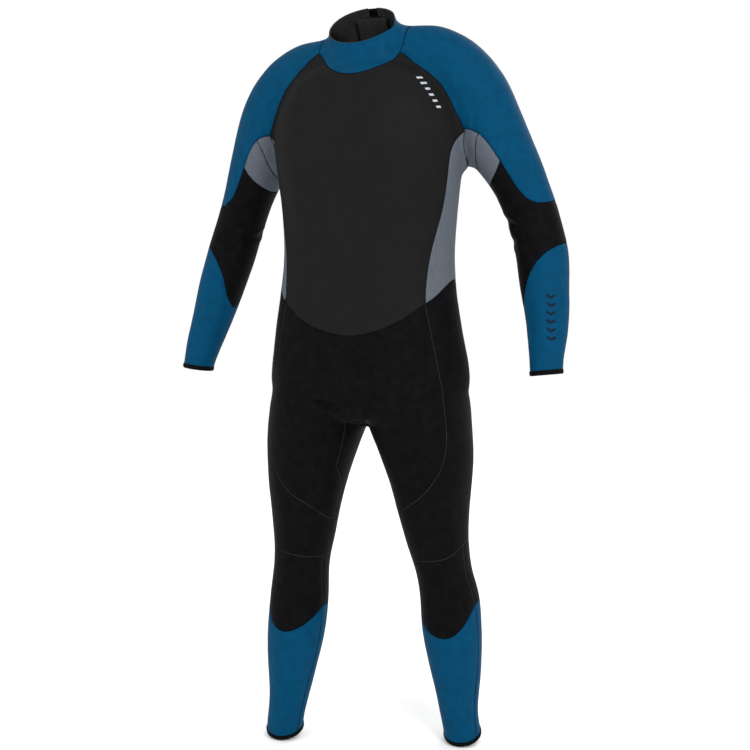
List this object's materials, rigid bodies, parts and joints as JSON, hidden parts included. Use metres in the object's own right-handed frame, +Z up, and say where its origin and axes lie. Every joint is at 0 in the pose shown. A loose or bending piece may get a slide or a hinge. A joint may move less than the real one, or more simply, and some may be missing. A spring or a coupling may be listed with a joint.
{
  "type": "full wetsuit",
  "caption": "Full-length neoprene wetsuit with long sleeves and legs, a back zip, contoured panels and bound wrist and ankle hems.",
  "frame": {"origin": "midway between the two ankle hems, at the height of their middles", "axes": "+Z up along the standing suit, the wearer faces -Y, the wearer's left is +X"},
  "size_m": [0.7896, 0.2734, 1.4542],
  "materials": {
    "smooth_skin": "smooth skin neoprene, satin",
    "black_jersey": "black nylon jersey over neoprene, matt",
    "blue_jersey": "blue nylon jersey over neoprene, matt",
    "grey_jersey": "grey nylon jersey over neoprene, faint vertical ribs",
    "binding": "black binding tape",
    "zip_tape": "woven black tape",
    "zip_teeth": "moulded black teeth",
    "zip_metal": "black enamelled zinc",
    "hook_and_loop": "black hook and loop"
  },
  "bodies": {
    "torso": {"back_flap": "black_jersey", "back_yoke": "black_jersey", "chest_panel": "smooth_skin", "collar": "blue_jersey", "crotch_gusset": "black_jersey", "left_armpit_gusset": "grey_jersey", "left_elbow_panel": "black_jersey", "left_knee_back_panel": "black_jersey", "left_knee_panel": "black_jersey", "left_outer_thigh_panel": "black_jersey", "left_shoulder_sleeve": "blue_jersey", "left_side_panel": "grey_jersey", "left_tooth_row": "zip_teeth", "left_underarm_panel": "grey_jersey", "left_zip_tape": "zip_tape", "loop_patch": "hook_and_loop", "lower_front_panel": "black_jersey", "right_armpit_gusset": "grey_jersey", "right_elbow_panel": "black_jersey", "right_knee_back_panel": "black_jersey", "right_knee_panel": "black_jersey", "right_outer_thigh_panel": "black_jersey", "right_shoulder_sleeve": "blue_jersey", "right_side_panel": "grey_jersey", "right_tooth_row": "zip_teeth", "right_underarm_panel": "grey_jersey", "right_zip_tape": "zip_tape", "seat_panel": "black_jersey", "zip_bottom_stop": "zip_metal", "zip_top_stops": "zip_metal"},
    "left_forearm": {"left_forearm_panel": "blue_jersey", "left_wrist_hem": "binding"},
    "left_lower_leg": {"left_shin_panel": "blue_jersey", "left_calf_panel": "blue_jersey", "left_ankle_hem": "binding"},
    "right_forearm": {"right_forearm_panel": "blue_jersey", "right_wrist_hem": "binding"},
    "right_lower_leg": {"right_shin_panel": "blue_jersey", "right_calf_panel": "blue_jersey", "right_ankle_hem": "binding"},
    "zip_slider": {"zip_slider": "zip_metal"},
    "zip_pull": {"zip_pull": "zip_metal"},
    "neck_tab": {"neck_tab": "black_jersey", "hook_patch": "hook_and_loop"}
  },
  "joints": [
    {"name": "left_elbow", "type": "hinge", "parent": "torso", "child": "left_forearm", "pos_m": [0.316, 0.08, 1.02], "axis": [-1, 0, 0], "range_deg": [-10, 90], "stiffness_Nm_per_rad": 0.5, "deforming": ["left_elbow_panel"]},
    {"name": "left_knee", "type": "hinge", "parent": "torso", "child": "left_lower_leg", "pos_m": [0.145, 0.0375, 0.335], "axis": [1, 0, 0], "range_deg": [0, 85], "stiffness_Nm_per_rad": 0.8, "deforming": ["left_knee_panel", "left_knee_back_panel"]},
    {"name": "right_elbow", "type": "hinge", "parent": "torso", "child": "right_forearm", "pos_m": [-0.316, 0.08, 1.02], "axis": [-1, 0, 0], "range_deg": [-10, 90], "stiffness_Nm_per_rad": 0.5, "deforming": ["right_elbow_panel"]},
    {"name": "right_knee", "type": "hinge", "parent": "torso", "child": "right_lower_leg", "pos_m": [-0.145, -0.0095, 0.335], "axis": [1, 0, 0], "range_deg": [0, 85], "stiffness_Nm_per_rad": 0.8, "deforming": ["right_knee_panel", "right_knee_back_panel"]},
    {"name": "zip_slide", "type": "hinge", "parent": "torso", "child": "zip_slider", "pos_m": [0, -0.495, 1.106], "axis": [-1, 0, 0], "range_deg": [0, 40.5], "deforming": ["left_tooth_row", "right_tooth_row", "left_zip_tape", "right_zip_tape"]},
    {"name": "pull_swing", "type": "hinge", "parent": "zip_slider", "child": "zip_pull", "pos_m": [0, 0.0714, 1.4029], "axis": [1, 0, 0], "range_deg": [0, 140]},
    {"name": "tab_peel", "type": "hinge", "parent": "torso", "child": "neck_tab", "pos_m": [0.027, 0.05451, 1.42858], "axis": [0, 0.5062, -0.8624], "range_deg": [0, 110]}
  ]
}
